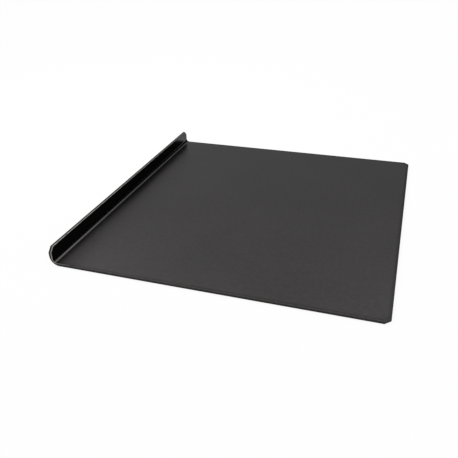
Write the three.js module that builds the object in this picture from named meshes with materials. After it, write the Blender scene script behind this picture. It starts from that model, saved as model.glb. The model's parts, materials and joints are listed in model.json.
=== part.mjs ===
// Pizza tray: a metal sheet with clipped corners, folded up along one side into a low flange and then
// coated black all over. The flat is open on its other three sides, so that a pizza slides on and off.
//
// Millimetres, +Z up. The origin is under the middle of the tray, on the surface that it lies on.
// X runs across the tray, from the flange at -X to the free edge at +X. Y runs along the flange.
import * as THREE from "three";

// Driving dimensions of the finished tray
const TRAY_WIDTH = 325; // outer face of the flange to the free edge
const TRAY_LENGTH = 354; // along the flange
const FLANGE_HEIGHT = 19.2; // surface that the tray lies on to the flange's top edge
const INSIDE_RADIUS = 4.4; // of the fold, on the cooking face
const OUTSIDE_RADIUS = 9.9; // of the fold, on the underside; the die presses the fold thinner than the sheet
const FLANGE_CORNER_CUT = 5; // leg of the 45 degree cut on each top corner of the flange
const SHEET_CORNER_CUT = 5.3; // leg of the 45 degree cut on each free corner of the flat
const EDGE_RADIUS = 0.4; // rounding of the coated edge, top and bottom, all round the sheet

// Layers
const SHEET_THICKNESS = 3; // bare metal
const COATING_THICKNESS = 0.05; // on each side, and over the edges

// Fineness of the round stretches
const FOLD_STEPS = 16;
const EDGE_STEPS = 4;

const QUARTER_TURN = Math.PI / 2;
const FINISHED_THICKNESS = SHEET_THICKNESS + 2 * COATING_THICKNESS;
const METAL_EDGE_RADIUS = EDGE_RADIUS - COATING_THICKNESS;

// Stations of the tray's section, from the flange's top edge to its free edge, on an outline that lies
// some way in from the edge. Each has its turn round the fold, and on the straight stretches either its
// height on the flange or its place across the flat.
function stations(inset) {
  const past = inset * (Math.SQRT2 - 1);
  const fromTop = [inset, FLANGE_CORNER_CUT + past];
  const fromFreeEdge = [SHEET_CORNER_CUT + past, inset];
  const turns = Array.from({ length: FOLD_STEPS + 1 }, (_, i) => (QUARTER_TURN * i) / FOLD_STEPS);
  return [
    ...fromTop.map((drop) => ({ turn: 0, height: FLANGE_HEIGHT - drop })),
    ...turns.map((turn) => ({ turn })),
    ...fromFreeEdge.map((reach) => ({ turn: QUARTER_TURN, across: TRAY_WIDTH / 2 - reach })),
  ];
}

const STATION_COUNT = stations(0).length;
const FOLD_END = stations(0).findIndex(({ turn }) => turn === QUARTER_TURN);

// The point of a station at a rise through the thickness, from the underside. Up to half the thickness it
// follows the outside radius, and past that the inside one.
function sectionPoint({ turn, height, across }, along, rise) {
  const outside = rise < FINISHED_THICKNESS / 2;
  const centre = outside ? OUTSIDE_RADIUS : INSIDE_RADIUS + FINISHED_THICKNESS;
  const radius = centre - rise;
  const x = across ?? centre - radius * Math.cos(turn) - TRAY_WIDTH / 2;
  const z = height ?? centre - radius * Math.sin(turn);
  return new THREE.Vector3(x, along, z);
}

// How far in from the tray's end an outline lies at a station: at its inset, or on the cut of a corner.
function endInset({ height, across }, inset) {
  const slant = inset * Math.SQRT2;
  const fromTop = height === undefined ? Infinity : FLANGE_HEIGHT - height;
  const fromFreeEdge = across === undefined ? Infinity : TRAY_WIDTH / 2 - across;
  return Math.max(inset, FLANGE_CORNER_CUT + slant - fromTop, SHEET_CORNER_CUT + slant - fromFreeEdge);
}

// The outline at an inset and a rise, as its near and far sides from the flange to the free edge.
function outline(inset, rise) {
  const side = (sign) =>
    stations(inset).map((station) =>
      sectionPoint(station, sign * (TRAY_LENGTH / 2 - endInset(station, inset)), rise),
    );
  return { near: side(-1), far: side(1) };
}

// The closed loop round an outline from one of its stations to the free edge and back.
function loop({ near, far }, first = 0) {
  return [...near.slice(first), ...far.slice(first).reverse()];
}

// Triangles of four corners, which run anticlockwise as seen from outside.
function quad(a, b, c, d) {
  return [a, b, c, a, c, d];
}

// The wall between two loops, facing away from what they go round when the second lies above the first.
function band(lower, upper) {
  return lower.flatMap((point, i) => {
    const next = (i + 1) % lower.length;
    return quad(point, lower[next], upper[next], upper[i]);
  });
}

// The face between the two sides of an outline, from one station to another, on the upper side.
function face({ near, far }, first, last) {
  const triangles = [];
  for (let i = first; i < last; i++) {
    triangles.push(...quad(near[i], near[i + 1], far[i + 1], far[i]));
  }
  return triangles;
}

function turnedRound(triangles) {
  return [...triangles].reverse();
}

// Section of the rounded edge from underside to top, as pairs of inset and rise.
function edgeSection(radius) {
  const steps = Array.from({ length: EDGE_STEPS + 1 }, (_, i) => (QUARTER_TURN * i) / EDGE_STEPS);
  const topCentre = FINISHED_THICKNESS - EDGE_RADIUS;
  return [
    ...steps.map((a) => [EDGE_RADIUS - radius * Math.sin(a), EDGE_RADIUS - radius * Math.cos(a)]),
    ...steps.map((a) => [EDGE_RADIUS - radius * Math.cos(a), topCentre + radius * Math.sin(a)]),
  ];
}

// The whole skin of the folded sheet: its top, its rounded edge and its underside up to a station.
function skin(edgeRadius, undersideEnd) {
  const rings = edgeSection(edgeRadius).map(([inset, rise]) => outline(inset, rise));
  const underside = turnedRound(face(rings[0], 0, undersideEnd));
  const top = face(rings.at(-1), 0, STATION_COUNT - 1);
  const edge = rings.slice(1).flatMap((ring, i) => band(loop(rings[i]), loop(ring)));
  return [...underside, ...edge, ...top];
}

// The seam where the two passes of the coating meet, on the underside round the flat.
function seam() {
  const outer = outline(EDGE_RADIUS, 0);
  const inner = outline(EDGE_RADIUS, COATING_THICKNESS);
  return band(loop(outer, FOLD_END), loop(inner, FOLD_END));
}

function foldedSheet() {
  return skin(METAL_EDGE_RADIUS, STATION_COUNT - 1);
}

// Upper pass: the cooking face, both faces of the flange, the outside of the fold and every cut edge.
function cookingCoating() {
  const outside = skin(EDGE_RADIUS, FOLD_END);
  const against = turnedRound(skin(METAL_EDGE_RADIUS, FOLD_END));
  return [...outside, ...against, ...turnedRound(seam())];
}

// Lower pass: the flat underside.
function undersideCoating() {
  const below = turnedRound(face(outline(EDGE_RADIUS, 0), FOLD_END, STATION_COUNT - 1));
  const above = face(outline(EDGE_RADIUS, COATING_THICKNESS), FOLD_END, STATION_COUNT - 1);
  return [...below, ...seam(), ...above];
}

const aluminium = new THREE.MeshStandardMaterial({ color: 0xb4b6b8, roughness: 0.45, metalness: 1 });
const cookingBlack = new THREE.MeshStandardMaterial({ color: 0x1c1c1d, roughness: 0.4, metalness: 0 });
const undersideBlack = new THREE.MeshStandardMaterial({ color: 0x1a1a1b, roughness: 0.5, metalness: 0 });

function mesh(name, triangles, material) {
  const geometry = new THREE.BufferGeometry().setFromPoints(triangles);
  geometry.computeVertexNormals();
  const made = new THREE.Mesh(geometry, material);
  made.name = name;
  return made;
}

const tray = new THREE.Group();
tray.add(
  mesh("folded_sheet", foldedSheet(), aluminium),
  mesh("cooking_coating", cookingCoating(), cookingBlack),
  mesh("underside_coating", undersideCoating(), undersideBlack),
);

export default tray;
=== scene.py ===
# %% [markdown]
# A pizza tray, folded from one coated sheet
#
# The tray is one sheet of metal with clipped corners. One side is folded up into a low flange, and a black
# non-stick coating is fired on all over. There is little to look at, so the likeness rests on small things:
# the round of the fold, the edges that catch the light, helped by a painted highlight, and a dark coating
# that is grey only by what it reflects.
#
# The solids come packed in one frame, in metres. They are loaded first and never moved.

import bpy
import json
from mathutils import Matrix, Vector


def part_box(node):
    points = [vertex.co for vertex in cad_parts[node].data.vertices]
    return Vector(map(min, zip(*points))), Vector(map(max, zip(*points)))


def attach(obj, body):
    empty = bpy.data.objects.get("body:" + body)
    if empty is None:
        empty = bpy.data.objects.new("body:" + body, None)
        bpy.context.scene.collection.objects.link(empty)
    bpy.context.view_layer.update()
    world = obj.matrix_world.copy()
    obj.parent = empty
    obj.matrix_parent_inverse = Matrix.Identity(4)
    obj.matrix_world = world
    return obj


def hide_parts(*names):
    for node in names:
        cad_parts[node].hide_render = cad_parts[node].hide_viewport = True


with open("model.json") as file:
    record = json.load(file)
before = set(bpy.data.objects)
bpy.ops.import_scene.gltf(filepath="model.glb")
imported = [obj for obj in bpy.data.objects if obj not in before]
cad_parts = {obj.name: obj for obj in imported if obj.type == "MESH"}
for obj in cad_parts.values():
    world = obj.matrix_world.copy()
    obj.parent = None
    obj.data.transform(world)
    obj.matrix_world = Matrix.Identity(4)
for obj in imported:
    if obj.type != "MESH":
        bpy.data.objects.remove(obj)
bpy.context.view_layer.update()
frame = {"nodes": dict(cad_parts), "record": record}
print("nodes in the frame:", sorted(frame["nodes"]))

# %% [markdown]
# Sizes, read from the frame
#
# Everything below has to lie on the solids. The sizes could be typed in again, but then they could drift
# apart, so they are measured. The lower coating ends where the fold begins and where the edge starts to
# turn, so its box gives those radii. The die presses the fold thinner than the sheet, so the inside of
# the fold has a radius of its own.

# %% Measure the tray
import json
import math

import bpy
from mathutils import Euler, Matrix

MM = 0.001
TINY = 0.001 * MM  # lengths that differ by less count as the same
ROOT_TWO = math.sqrt(2)
QUARTER_TURN = math.pi / 2
X_AXIS, Z_AXIS = 0, 2

tray_low, tray_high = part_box("cooking_coating")
flat_low, flat_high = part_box("underside_coating")
tray_points = [vertex.co for vertex in frame["nodes"]["cooking_coating"].data.vertices]
mounts = {mount["name"]: mount for mount in frame["record"]["mounts"]}

TRAY_LENGTH = tray_high.y - tray_low.y
FLANGE_HEIGHT = tray_high.z
THICKNESS = mounts["cooking_face"]["pos_m"][Z_AXIS]
COAT = flat_high.z
EDGE_RADIUS = tray_high.x - flat_high.x
OUTSIDE_RADIUS = flat_low.x - tray_low.x

inner_face = tray_low.x + THICKNESS
top_of_flat = [point.x for point in tray_points if abs(point.z - THICKNESS) < TINY and point.x > inner_face]
INSIDE_RADIUS = min(top_of_flat) - inner_face


def edge_reach(axis):
    """How far along the flange the tray's outermost edge on an axis reaches, before its corner is cut."""
    outermost = max(point[axis] for point in tray_points)
    return max(point.y for point in tray_points if outermost - point[axis] < TINY)


SHEET_CUT = tray_high.y - edge_reach(X_AXIS)
FLANGE_CUT = tray_high.y - edge_reach(Z_AXIS)

# The blank is measured along its underside: down the flange, round the fold and out to the free edge.
FOLD_START = FLANGE_HEIGHT - OUTSIDE_RADIUS
FOLD_STOP = FOLD_START + OUTSIDE_RADIUS * QUARTER_TURN
BLANK_RUN = FOLD_STOP + tray_high.x - flat_low.x

print(f"blank {BLANK_RUN / MM:.1f} x {TRAY_LENGTH / MM:.1f} mm, {THICKNESS / MM:.2f} mm thick")
print(f"fold radius {INSIDE_RADIUS / MM:.2f} mm inside and {OUTSIDE_RADIUS / MM:.2f} mm outside")
print(f"corner cuts {FLANGE_CUT / MM:.2f} mm on the flange and {SHEET_CUT / MM:.2f} mm on the flat")

# %% [markdown]
# Arithmetic on sockets
#
# The fold and the finishes are node trees, and most of their nodes are sums. They could be added one by
# one and linked by hand, but sums read best as Python. A Wire holds one output socket, and arithmetic on
# it adds Math nodes. Any other node comes from its node method.

# %% A socket that can be added and multiplied
MIX_COLOURS = (6, 7)  # colours among a Mix node's inputs, by number because their names repeat
MIX_RESULT = 2  # and the colour among its outputs


class Wire:
    """An output socket of a node tree, which takes part in Python arithmetic."""

    def __init__(self, tree, socket=None):
        self.tree = tree
        self.socket = socket

    def node(self, kind, settings=None, sockets=None):
        """Adds a node: its settings first, then a value or a link for each socket, by name or number."""
        made = self.tree.nodes.new(kind)
        for name, value in (settings or {}).items():
            setattr(made, name, value)
        for name, value in (sockets or {}).items():
            if isinstance(value, Wire):
                self.tree.links.new(value.socket, made.inputs[name])
            else:
                made.inputs[name].default_value = value
        return Wire(self.tree, made.outputs[0] if made.outputs else None)

    def out(self, name):
        """Another output of the same node."""
        return Wire(self.tree, self.socket.node.outputs[name])

    def math(self, operation, *values):
        """A Math node on some values."""
        return self.node("ShaderNodeMath", {"operation": operation}, dict(enumerate(values)))

    def __add__(self, other):
        return self.math("ADD", self, other)

    __radd__ = __add__

    def __mul__(self, other):
        return self.math("MULTIPLY", self, other)

    __rmul__ = __mul__

    def __sub__(self, other):
        return self.math("SUBTRACT", self, other)

    def __rsub__(self, other):
        return self.math("SUBTRACT", other, self)

    def __truediv__(self, other):
        return self.math("DIVIDE", self, other)

    def between(self, low, high):
        """The value, kept from passing two limits."""
        return self.math("MINIMUM", self.math("MAXIMUM", self, low), high)

    def blend(self, first, second):
        """A colour between two others: the first where this value is 0, and the second where it is 1."""
        sockets = {"Factor": self, **dict(zip(MIX_COLOURS, (first, second)))}
        return self.node("ShaderNodeMix", {"data_type": "RGBA"}, sockets).out(MIX_RESULT)


def empty_tree(owner):
    """A wire in the node tree of a material or a world, once its default nodes are out."""
    owner.use_nodes = True
    owner.node_tree.nodes.clear()
    return Wire(owner.node_tree)


print("sums on sockets: + - * /")

# %% [markdown]
# The coating
#
# A non-stick film is sprayed on and fired. This one is dark and full of fine flakes, so it mirrors about
# a twentieth of the room from every angle. A shader for black plastic could be lit to the same grey, but
# its gloss grows towards grazing, and the tray would pale towards its far end. So the film is a dark
# metal to Blender, with a tint that holds back its gloss at grazing.
#
# Up close the film has a faint orange peel from the spray gun, fine grains, a mottle of a few millimetres,
# and slow clouds where the spray lay thicker. Four marks on the mesh, measured further on, say where it
# differs: the flat is scuffed duller than the flange, and scrubbed duller still beside the fold; a strip
# along the edges is painted near black as painted shade; and the upper corners are painted pale and less
# metallic as a painted highlight.

# %% Coating finish
# Noise scales, in blotches to a metre
CLOUD_SCALE = 11
MOTTLE_SCALE = 260
GRAIN_SCALE = 3600
PEEL_SCALE = 620
NOISE_DETAIL = 2
NOISE_MIDDLE = 0.5  # what a noise texture averages

# Colours of the film, of its painted edge shade and its painted highlight, and what sways them
FILM_DARK = (0.049, 0.0466, 0.0466, 1)
FILM_PALE = (0.0645, 0.0614, 0.0614, 1)
# painted shade: the near-black colour of a strip along the edges
EDGE_SHADE_COLOUR = (0.01, 0.0097, 0.0097, 1)
# painted highlight: the pale colour of the upper corners
HIGHLIGHT_COLOUR = (0.36, 0.355, 0.325, 1)
GRAZING_TINT = (0.65, 0.65, 0.65, 1)
CLOUD_WEIGHT = 0.8
MOTTLE_WEIGHT = 1.2
EVEN_HIGHLIGHT = 0.85  # share of the painted highlight that is even, beside what comes and goes with clouds and mottle
CLOUD_HIGHLIGHT = 0.5
MOTTLE_HIGHLIGHT = 1

# Gloss and relief
FLANGE_ROUGHNESS = 0.2
COOKING_ROUGHNESS = 0.36
UNDERSIDE_ROUGHNESS = 0.45
SCRUB_ROUGHNESS = 0.29  # added where the flat is scrubbed
CLOUD_ROUGHNESS = 0.05
COOKING_PEEL = 0.03 * MM
UNDERSIDE_PEEL = 0.04 * MM
GRAIN_RELIEF = 0.25  # of the orange peel's depth

MARKS = ("worn", "rim", "scuffed", "scrubbed")


def coating(name, flat_roughness, peel):
    """A fired coating, with its roughness where it is scuffed and the depth of its orange peel in metres."""
    material = bpy.data.materials.new(name)
    wire = empty_tree(material)
    place = wire.node("ShaderNodeTexCoord").out("Object")

    def noise(scale):
        sockets = {"Vector": place, "Scale": scale, "Detail": NOISE_DETAIL}
        return wire.node("ShaderNodeTexNoise", None, sockets)

    def mark(label):
        return wire.node("ShaderNodeAttribute", {"attribute_name": label}).out("Fac")

    worn, rim, scuffed, scrubbed = (mark(label) for label in MARKS)
    grain = noise(GRAIN_SCALE)
    cloudy = noise(CLOUD_SCALE) - NOISE_MIDDLE
    mottled = noise(MOTTLE_SCALE) - NOISE_MIDDLE
    shade = (grain + CLOUD_WEIGHT * cloudy + MOTTLE_WEIGHT * mottled).between(0, 1)
    # Painted shade: a strip along the edges is blended towards near black
    film = rim.blend(shade.blend(FILM_DARK, FILM_PALE), EDGE_SHADE_COLOUR)
    # Painted highlight: the upper corners turn pale and less metallic
    highlight = worn * (EVEN_HIGHLIGHT + CLOUD_HIGHLIGHT * cloudy + MOTTLE_HIGHLIGHT * mottled).between(0, 1)
    dulled = (flat_roughness - FLANGE_ROUGHNESS) * scuffed + SCRUB_ROUGHNESS * scrubbed
    roughness = FLANGE_ROUGHNESS + dulled + CLOUD_ROUGHNESS * cloudy

    relief = noise(PEEL_SCALE) + GRAIN_RELIEF * grain
    shader = wire.node(
        "ShaderNodeBsdfPrincipled",
        None,
        {
            "Base Color": highlight.blend(film, HIGHLIGHT_COLOUR),
            "Metallic": 1 - highlight,
            "Roughness": roughness,
            "Specular Tint": GRAZING_TINT,
            "Normal": wire.node("ShaderNodeBump", None, {"Strength": 1, "Distance": peel, "Height": relief}),
        },
    )
    wire.node("ShaderNodeOutputMaterial", None, {"Surface": shader})
    return material


cooking_finish = coating("cooking_coat", COOKING_ROUGHNESS, COOKING_PEEL)
underside_finish = coating("underside_coat", UNDERSIDE_ROUGHNESS, UNDERSIDE_PEEL)
print("coatings:", cooking_finish.name, underside_finish.name)

# %% [markdown]
# The sheet metal
#
# The metal lies under the coating and shows nowhere on a whole tray. One grey would do for what nobody
# sees, but someone may lift the coating off, so the sheet gets the fine lines that rolling leaves along
# it. They are a noise drawn out along the flange, on the solid as it is.

# %% Rolled metal finish
ROLLING_SCALE = 900
ROLLING_STRETCH = (1, 0.02, 1)
ROLLING_DETAIL = 3
METAL_DARK = (0.5, 0.51, 0.52, 1)
METAL_PALE = (0.7, 0.71, 0.72, 1)
METAL_ROUGHNESS = 0.3
LINE_ROUGHNESS = 0.2


def rolled_metal(name):
    """Bare rolled sheet, with lines along the flange."""
    material = bpy.data.materials.new(name)
    wire = empty_tree(material)
    place = wire.node("ShaderNodeTexCoord").out("Object")
    drawn_out = wire.node("ShaderNodeMapping", None, {"Vector": place, "Scale": ROLLING_STRETCH})
    pattern = {"Vector": drawn_out, "Scale": ROLLING_SCALE, "Detail": ROLLING_DETAIL}
    lines = wire.node("ShaderNodeTexNoise", None, pattern)
    shader = wire.node(
        "ShaderNodeBsdfPrincipled",
        None,
        {
            "Base Color": lines.blend(METAL_DARK, METAL_PALE),
            "Metallic": 1,
            "Roughness": METAL_ROUGHNESS + LINE_ROUGHNESS * lines,
        },
    )
    wire.node("ShaderNodeOutputMaterial", None, {"Surface": shader})
    return material


sheet = frame["nodes"]["folded_sheet"]
sheet.data.materials.clear()
sheet.data.materials.append(rolled_metal("sheet_metal"))
print("sheet metal on", sheet.name)

# %% [markdown]
# The blank
#
# A bent plane with a Solidify and a Bevel modifier would give a tray, but its rounding would not lie on
# the solids. So the tray is made as it is in the shop: cut flat, then folded. The flat blank uses three
# coordinates: the run from the flange's top edge to the free edge, the place along the flange, and the
# rise through the thickness. A layer of the blank is a grid of points at an inset from the edge and at a
# rise.

# %% Points of the flat blank
FLAT_STEPS = 24
FOLD_STEPS = 48
ALONG_STEPS = 36
SUPPORT = 0.5 * MM  # narrow strip beside each round stretch, which keeps the shading of the flat flat
SHADE_STRIP = 3.5 * MM  # strip inside the edge that is painted near black, as painted shade


def spread(first, last, steps):
    return [first + (last - first) * i / steps for i in range(steps + 1)]


def stations(inset):
    """Runs at which the blank turns a corner, bends or is divided, from the flange to the free edge."""
    past = inset * (ROOT_TWO - 1)
    flange = [inset, inset + SUPPORT, inset + SHADE_STRIP, FLANGE_CUT + past, FOLD_START - SUPPORT]
    fold = spread(FOLD_START, FOLD_STOP, FOLD_STEPS)
    flat = spread(FOLD_STOP + SUPPORT, BLANK_RUN - SHEET_CUT - past, FLAT_STEPS)
    free_edge = [BLANK_RUN - inset - strip for strip in (SHADE_STRIP, SUPPORT, 0)]
    return flange + fold + flat + free_edge


FLAT_ROW = next(row for row, run in enumerate(stations(0)) if run > FOLD_STOP - TINY)


def end_of_blank(run, inset):
    """Half the blank's length at a run: to its end, or to the 45 degree cut of a corner."""
    slant = inset * ROOT_TWO
    return TRAY_LENGTH / 2 - max(inset, FLANGE_CUT + slant - run, SHEET_CUT + slant - (BLANK_RUN - run))


def layer(inset, rise):
    """Rows of points across the blank, at an inset from its edge and a rise from its underside."""
    rows = []
    for run in stations(inset):
        end = end_of_blank(run, inset)
        middle = spread(SHADE_STRIP - end, end - SHADE_STRIP, ALONG_STEPS)
        places = [-end, SUPPORT - end, *middle, end - SUPPORT, end]
        rows.append([(run, along, rise) for along in places])
    return rows


def border(rows):
    """The loop round some rows, anticlockwise as seen from above."""
    near = [row[0] for row in rows]
    far = [row[-1] for row in reversed(rows)]
    return near + rows[-1][1:-1] + far + rows[0][-2:0:-1]


underside_layer = layer(0, 0)
print("rows across the blank:", len(underside_layer), "with points along it:", len(underside_layer[0]))

# %% [markdown]
# The films
#
# The coating is two closed films that meet in a seam on the underside. Each could be one sheet with a
# Solidify modifier, but the wall between them is thinner than a hair and has to stay even round the edge.
# So every wall is laid out: an outer skin, an inner skin that faces the metal, and the seam. A skin is a
# top grid, an underside grid, and bands between the borders of the layers that step round the edge.

# %% Skins of the coating
EDGE_STEPS = 8
HIGHLIGHT_DOWN = 1 * MM  # reach of the painted highlight from a corner down the cut edge


def face(rows):
    """The upper side of some rows, as lists of four points."""
    quads = []
    for row, after in zip(rows, rows[1:]):
        quads += [(row[j], after[j], after[j + 1], row[j + 1]) for j in range(len(row) - 1)]
    return quads


def band(lower, upper):
    """The wall between two loops, facing out."""
    return [(lower[i - 1], lower[i], upper[i], upper[i - 1]) for i in range(len(lower))]


def turned(quads):
    return [quad[::-1] for quad in quads]


def edge_section(radius):
    """Inset and rise round the rounded edge, from underside to top."""
    angles = spread(0, QUARTER_TURN, EDGE_STEPS)
    top_centre = THICKNESS - EDGE_RADIUS
    rises = (EDGE_RADIUS + SUPPORT, THICKNESS - HIGHLIGHT_DOWN, top_centre - SUPPORT)
    below = [(EDGE_RADIUS - radius * math.sin(a), EDGE_RADIUS - radius * math.cos(a)) for a in angles]
    beside = [(EDGE_RADIUS - radius, rise) for rise in rises]
    above = [(EDGE_RADIUS - radius * math.cos(a), top_centre + radius * math.sin(a)) for a in angles]
    return below + beside + above


def upper_skin(radius):
    """Top, edge, and the underside as far as the end of the fold."""
    layers = [layer(inset, rise) for inset, rise in edge_section(radius)]
    quads = turned(face(layers[0][: FLAT_ROW + 1])) + face(layers[-1])
    for lower, upper in zip(layers, layers[1:]):
        quads += band(border(lower), border(upper))
    return quads


flat_below = layer(EDGE_RADIUS, 0)[FLAT_ROW:]
flat_above = layer(EDGE_RADIUS, COAT)[FLAT_ROW:]
seam = band(border(flat_below), border(flat_above))
upper_film = upper_skin(EDGE_RADIUS) + turned(upper_skin(EDGE_RADIUS - COAT)) + turned(seam)
lower_film = turned(face(flat_below)) + seam + face(flat_above)
print("faces of the upper film:", len(upper_film), "and of the lower:", len(lower_film))

# %% [markdown]
# Marks on the film
#
# The upper corners get a painted highlight: the film turns pale and less metallic there, strongest on the
# flange's top corner at the near end and fading along the flange, standing in for the reflection of a lamp.
# A strip along the cut edges gets painted shade: the film turns near black there, less at the near end.
# Scrapers dull the flat but never reach the flange, and crumbs that gather beside the fold are scrubbed off,
# most in the half that is nearer to hand. Such marks could be painted by hand, or found from the mesh's
# curvature. Here they are distances, because those are easy to measure while the blank is flat.

# %% Painted highlight, painted edge shade, scuffs and scrubbing
HIGHLIGHT_IN = 0.7 * MM  # reach of the painted highlight from a corner over the cooking face
HIGHLIGHT_GAIN = 3  # how steeply the painted highlight sets in
HIGHLIGHT_REACH = 35 * MM  # reach of the painted highlight from the flange's top edge
FAR_HIGHLIGHT = 0.3  # painted highlight at the far end of the flange, against 1 at the near end
REST_HIGHLIGHT = 0.1  # painted highlight on a corner out of that reach, against 1 at its strongest
NEAR_EDGE_SHADE = 0.55  # strength of the painted edge shade at the near end, against 1 at the far end
SCUFF_REACH = 3 * MM  # over which the scuffs set in, across the end of the fold
SCUFF_START = FOLD_STOP - SCUFF_REACH / 2
SCRUB_REACH = 27 * MM  # from the fold over the flat


def fraction(value):
    return min(max(value, 0), 1)


def inset_of(run, along):
    """How far a point of the blank lies in from the nearest edge or corner cut."""
    to_end = TRAY_LENGTH / 2 - abs(along)
    to_free = BLANK_RUN - run
    flange_slant = (run + to_end - FLANGE_CUT) / ROOT_TWO
    sheet_slant = (to_free + to_end - SHEET_CUT) / ROOT_TWO
    return min(run, to_free, to_end, flange_slant, sheet_slant)


def marks(run, along, rise):
    """How much painted highlight and painted edge shade a point of the blank gets, and how scuffed and how
    scrubbed it is, from 0 to 1.
    """
    inset = inset_of(run, along)
    off_corner = math.hypot(inset / HIGHLIGHT_IN, (THICKNESS - rise) / HIGHLIGHT_DOWN)
    towards_near = -along / (TRAY_LENGTH / 2)  # from -1 at the far end to 1 at the near end
    nearness = fraction((1 + towards_near) / 2)
    # Painted highlight: strongest on the flange's top corner at the near end, weaker along the flange
    highlight_strength = fraction(1 - run / HIGHLIGHT_REACH) * (FAR_HIGHLIGHT + (1 - FAR_HIGHLIGHT) * nearness)
    worn = fraction(HIGHLIGHT_GAIN * (1 - off_corner)) * (REST_HIGHLIGHT + (1 - REST_HIGHLIGHT) * highlight_strength)
    # Painted shade: a near-black strip along the edges, weaker at the near end
    rim = fraction(1 - inset / SHADE_STRIP) * (1 - (1 - NEAR_EDGE_SHADE) * nearness)
    scuffed = fraction((run - SCUFF_START) / SCUFF_REACH)

    # Scrubbing grows over the near half of the flat, and fades through the thickness to the underside.
    beside_fold = fraction(1 - (run - FOLD_STOP) / SCRUB_REACH)
    scrubbed = scuffed * fraction(towards_near) * beside_fold * rise / THICKNESS
    return worn, rim, scuffed, scrubbed


middle_of_flat = marks(BLANK_RUN / 2, 0, THICKNESS)
middle_of_flange = marks(0, 0, THICKNESS)
print(MARKS, "on the flat:", middle_of_flat, "and on the flange's top corner:", middle_of_flange)

# %% [markdown]
# The fold
#
# A press bends the blank over a round nose into a round die. A Simple Deform modifier bends too, but it
# keeps one radius through the whole thickness. The rule is short: a point on the flat stays, a point on the
# fold turns by its run, and a point past it goes straight up. The lower half of the thickness turns in the
# die and the upper half about the nose, each with its own radius. Geometry Nodes hold that rule, with the
# radii as inputs.

# %% Press in Geometry Nodes
PRESS_SIZES = ("Fold start", "Outside radius", "Inside radius", "Thickness", "Outer face X")


def press():
    """A node group that folds a blank whose X is the run, Y the place along the flange and Z the rise."""
    tree = bpy.data.node_groups.new("press", "GeometryNodeTree")
    tree.interface.new_socket("Blank", in_out="INPUT", socket_type="NodeSocketGeometry")
    for name in PRESS_SIZES:
        tree.interface.new_socket(name, in_out="INPUT", socket_type="NodeSocketFloat")
    tree.interface.new_socket("Finish", in_out="INPUT", socket_type="NodeSocketMaterial")
    tree.interface.new_socket("Tray", in_out="OUTPUT", socket_type="NodeSocketGeometry")

    wire = Wire(tree)
    given = wire.node("NodeGroupInput")
    start, outside, inside, thickness, outer_face = (given.out(name) for name in PRESS_SIZES)
    point = wire.node("ShaderNodeSeparateXYZ", None, {0: wire.node("GeometryNodeInputPosition")})
    run, along, rise = (point.out(axis) for axis in "XYZ")

    # The centre of the turn lies this far in from both outer faces of the tray.
    upper_half = wire.math("GREATER_THAN", rise, thickness / 2)
    centre = outside + upper_half * (inside + thickness - outside)
    reach = centre - rise

    # Past the fold both halves are level again, whatever their radius.
    stop = start + QUARTER_TURN * outside
    on_flange = (start - run).between(0, BLANK_RUN)
    on_flat = (run - stop).between(0, BLANK_RUN)
    up = on_flange + wire.math("GREATER_THAN", on_flange, TINY) * (outside - centre)
    across = on_flat + wire.math("GREATER_THAN", on_flat, TINY) * (outside - centre)

    turn = ((stop - run) / outside).between(0, QUARTER_TURN)
    x = outer_face + centre - reach * wire.math("SINE", turn) + across
    z = centre - reach * wire.math("COSINE", turn) + up

    place = wire.node("ShaderNodeCombineXYZ", None, {"X": x, "Y": along, "Z": z})
    folded = wire.node("GeometryNodeSetPosition", None, {"Geometry": given.out("Blank"), "Position": place})
    real = wire.node("GeometryNodeRealizeInstances", None, {"Geometry": folded})
    dressed = wire.node("GeometryNodeSetMaterial", None, {"Geometry": real, "Material": given.out("Finish")})
    wire.node("NodeGroupOutput", None, {"Tray": dressed})
    return tree


fold_rule = press()
press_sockets = fold_rule.interface.items_tree
fold_inputs = {socket.name: socket.identifier for socket in press_sockets if socket.in_out == "INPUT"}
print("inputs of the fold:", list(fold_inputs))

# %% [markdown]
# From blank to piece
#
# Each film becomes a flat mesh, goes through the press, and is kept as a plain mesh. The modifier could
# stay on the piece, but an export reads plain meshes more safely. Corners that coincide become one
# vertex, so that the film has no open edge, and the marks go along as attributes. Faces are shaded
# smooth, except where two of them meet at a corner.

# %% Fold the films
SMOOTH_ANGLE = math.radians(40)
PLACES = 8  # decimals of a metre to which corners coincide


def add_object(name, data):
    made = bpy.data.objects.new(name, data)
    bpy.context.scene.collection.objects.link(made)
    return made


def blank_mesh(name, quads):
    """A flat mesh of a film, with its marks."""
    corners = {}
    faces = []
    for quad in quads:
        rounded = [tuple(round(value, PLACES) for value in point) for point in quad]
        faces.append([corners.setdefault(point, len(corners)) for point in rounded])
    mesh = bpy.data.meshes.new(name)
    mesh.from_pydata(list(corners), [], faces)
    measured = zip(*(marks(*point) for point in corners))
    for label, values in zip(MARKS, measured):
        mesh.attributes.new(label, "FLOAT", "POINT").data.foreach_set("value", values)
    return mesh


def folded_piece(name, quads, finish):
    """The film as an object, folded, with nothing left to evaluate."""
    piece = add_object(name, blank_mesh(name, quads))
    fold = piece.modifiers.new("fold", "NODES")
    fold.node_group = fold_rule
    sizes = (FOLD_START, OUTSIDE_RADIUS, INSIDE_RADIUS, THICKNESS, tray_low.x)
    for label, value in zip((*PRESS_SIZES, "Finish"), (*sizes, finish)):
        fold[fold_inputs[label]] = value
    depsgraph = bpy.context.evaluated_depsgraph_get()
    evaluated = piece.evaluated_get(depsgraph)
    mesh = bpy.data.meshes.new_from_object(evaluated, preserve_all_data_layers=True, depsgraph=depsgraph)
    piece.modifiers.clear()
    piece.data = mesh
    mesh.shade_smooth()
    mesh.set_sharp_from_angle(angle=SMOOTH_ANGLE)
    return piece


cooking_coat = folded_piece("cooking_coat", upper_film, cooking_finish)
underside_coat = folded_piece("underside_coat", lower_film, underside_finish)

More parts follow.
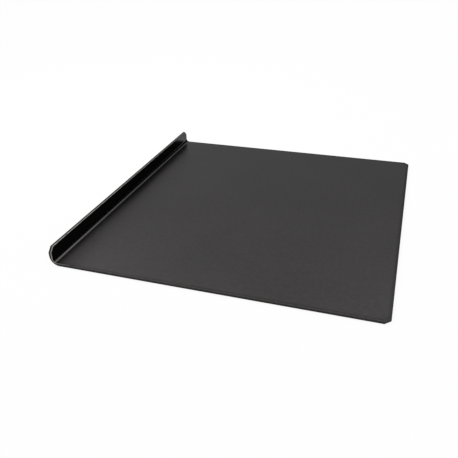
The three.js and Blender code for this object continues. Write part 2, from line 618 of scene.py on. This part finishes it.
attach(cooking_coat, "root")
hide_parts("cooking_coating")
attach(underside_coat, "root")
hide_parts("underside_coating")
for piece in (cooking_coat, underside_coat):
    print(piece.name, "has", len(piece.data.polygons), "faces")

# %% [markdown]
# Floor
#
# The tray lies on a plain pale floor. A strong lamp could burn the floor to white, but it would wash out
# the tray as well. So the floor is a matt surface that takes the tray's shadow, and to the camera and to
# gloss it also glows white. Far off the glow sinks to the tone of the walls, so that no hard line shows
# where the floor ends.

# %% White floor
FLOOR_SIZE = 12  # metres
FLOOR_GAP = 0.2 * MM  # below the tray, so that their faces don't coincide
FLOOR_GLOW = 0.9  # share of the glow in what the camera and gloss see
FADE_FROM = 2.6  # metres from the tray at which the glow starts to sink
FADE_TO = 6  # and at which it has the tone of the walls
WALL_TONE = 0.55
WHITE = (1, 1, 1, 1)
WALL_COLOUR = (WALL_TONE, WALL_TONE, WALL_TONE, 1)
FLOOR_COLOUR = (0.95, 0.95, 0.95, 1)


def white_floor():
    material = bpy.data.materials.new("white_floor")
    wire = empty_tree(material)
    path = wire.node("ShaderNodeLightPath")
    seen = path.out("Is Camera Ray") + path.out("Is Glossy Ray") + path.out("Is Transmission Ray")
    place = wire.node("ShaderNodeTexCoord").out("Object")
    distance = wire.node("ShaderNodeVectorMath", {"operation": "LENGTH"}, {0: place}).out("Value")
    faded = ((distance - FADE_FROM) / (FADE_TO - FADE_FROM)).between(0, 1)
    matt = wire.node("ShaderNodeBsdfDiffuse", None, {"Color": FLOOR_COLOUR})
    glow = wire.node("ShaderNodeEmission", None, {"Color": faded.blend(WHITE, WALL_COLOUR), "Strength": 1})
    glowing = FLOOR_GLOW * seen.between(0, 1)
    shader = wire.node("ShaderNodeMixShader", None, {0: glowing, 1: matt, 2: glow})
    wire.node("ShaderNodeOutputMaterial", None, {"Surface": shader})
    return material


half = FLOOR_SIZE / 2
floor_corners = [(-half, -half), (half, -half), (half, half), (-half, half)]
floor_mesh = bpy.data.meshes.new("floor")
floor_mesh.from_pydata([(x, y, -FLOOR_GAP) for x, y in floor_corners], [], [(0, 1, 2, 3)])
floor_mesh.materials.append(white_floor())
add_object("floor", floor_mesh)
print("floor", FLOOR_SIZE, "m across, white to", FADE_FROM, "m from the tray")

# %% [markdown]
# Room
#
# The coating shows little but the room, so the room's tones are the tray's tones. A picture of a real
# room could be wrapped round the scene, but two tones and a slope are plain and need no file. Pale walls
# rise to a white ceiling, and the ceiling's white comes further down on the flange's side, as it does
# near a window. Every ray meets the same room.

# %% Pale walls and white ceiling
WALL_TOP = 0.31  # sine of the angle up to which the wall's tone holds
CEILING_FROM = 0.62  # and of the angle from which all is white
WINDOW_SIDE = 0.4  # how far the white leans towards the flange's side

# In a world, the first output of Texture Coordinate is the direction that a ray goes in.
room = bpy.data.worlds.new("white_room")
wire = empty_tree(room)
direction = wire.node("ShaderNodeSeparateXYZ", None, {0: wire.node("ShaderNodeTexCoord")})
height = direction.out("Z") - WINDOW_SIDE * direction.out("X")
overhead = ((height - WALL_TOP) / (CEILING_FROM - WALL_TOP)).between(0, 1)
whiteness = WALL_TONE + (1 - WALL_TONE) * overhead
background = wire.node("ShaderNodeBackground", None, {"Color": WHITE, "Strength": whiteness})
wire.node("ShaderNodeOutputWorld", None, {"Surface": background})
bpy.context.scene.world = room
print("walls", WALL_TONE, "as bright as the ceiling")

# %% [markdown]
# Studio light
#
# Two soft boxes stand behind the tray. Bare lamps would do, but their small reflections look like beads.
# The left box is near and lifts the flat beside the flange. The right one is large, far off and high, and
# the fold mirrors it as one thin bright line. From lower down its light would also reach the flange by
# way of the flat, and the flange would turn grey.

# %% Soft boxes
# Places and sizes in metres, powers in watts
LEFT_PLACE = (-0.5, 0.25, 0.8)
LEFT_SIZE = 0.4
LEFT_POWER = 1.2
RIGHT_PLACE = (0.68, 2.47, 2.87)
RIGHT_SIZE = 0.8
RIGHT_POWER = 6


def soft_box(name, place, size, power):
    """A square area lamp that faces the tray."""
    lamp = bpy.data.lights.new(name, "AREA")
    lamp.shape = "SQUARE"
    lamp.size = size
    lamp.energy = power
    box = add_object(name, lamp)
    box.location = place
    box.rotation_euler = box.location.to_track_quat("Z", "Y").to_euler()
    return box


left_box = soft_box("left_box", LEFT_PLACE, LEFT_SIZE, LEFT_POWER)
right_box = soft_box("right_box", RIGHT_PLACE, RIGHT_SIZE, RIGHT_POWER)
for box in (left_box, right_box):
    print(box.name, f"stands {box.location.length:.2f} m from the tray")

# %% [markdown]
# Black card
#
# A photographer stands a black card beside a glossy object to keep its dark side dark. A darker film
# would black the flange too, but the flat with it. The card bends round the tray at the back on the
# right, where the flange and the upper half of the fold mirror it, and the flat, seen from the camera,
# doesn't. It shows in gloss alone and takes no light from the floor.

# %% Card
CARD_DISTANCE = 4  # metres
CARD_HEIGHT = 2.4
CARD_FROM = math.radians(13)  # from +Y towards +X
CARD_TO = math.radians(95)
CARD_STEPS = 12
CARD_COLOUR = (0.01, 0.01, 0.01, 1)


def black_card():
    material = bpy.data.materials.new("black_card")
    wire = empty_tree(material)
    matt = wire.node("ShaderNodeBsdfDiffuse", None, {"Color": CARD_COLOUR})
    wire.node("ShaderNodeOutputMaterial", None, {"Surface": matt})
    return material


# The points come in pairs, one at the card's foot and one at its top.
card_points = []
for angle in spread(CARD_FROM, CARD_TO, CARD_STEPS):
    x, y = CARD_DISTANCE * math.sin(angle), CARD_DISTANCE * math.cos(angle)
    card_points += [(x, y, 0), (x, y, CARD_HEIGHT)]
card_faces = [(i, i + 1, i + 3, i + 2) for i in range(0, 2 * CARD_STEPS, 2)]
card_mesh = bpy.data.meshes.new("card")
card_mesh.from_pydata(card_points, [], card_faces)
card_mesh.materials.append(black_card())
card = add_object("card", card_mesh)
card.visible_camera = False
card.visible_diffuse = False
card.visible_shadow = False
print("card", CARD_HEIGHT, "m high in", len(card_faces), "panels")

# %% [markdown]
# Camera
#
# The camera could be set by eye, but a flat tray shows every degree. The photograph's vanishing points
# give its lens and its tilt, and the tray's corners then give its place. It looks down from the open
# side, turned a little towards the flange, with a slight roll.

# %% Camera
LENS = 43.52  # millimetres, on a sensor this wide
SENSOR = 36
NEAREST = 0.01  # metres, as is the place
CAMERA_PLACE = (0.15139, -0.55813, 0.29379)
CAMERA_YAW = math.radians(18.543)
CAMERA_PITCH = math.radians(29.165)
CAMERA_ROLL = math.radians(1.166)

camera = add_object("camera", bpy.data.cameras.new("camera"))
camera.data.lens = LENS
camera.data.sensor_width = SENSOR
camera.data.clip_start = NEAREST
aim = Euler((QUARTER_TURN - CAMERA_PITCH, 0, CAMERA_YAW)).to_matrix().to_4x4()
camera.matrix_world = Matrix.Translation(CAMERA_PLACE) @ aim @ Matrix.Rotation(-CAMERA_ROLL, 4, "Z")
bpy.context.scene.camera = camera
bpy.context.scene.view_settings.view_transform = "Standard"
print("camera at", CAMERA_PLACE)
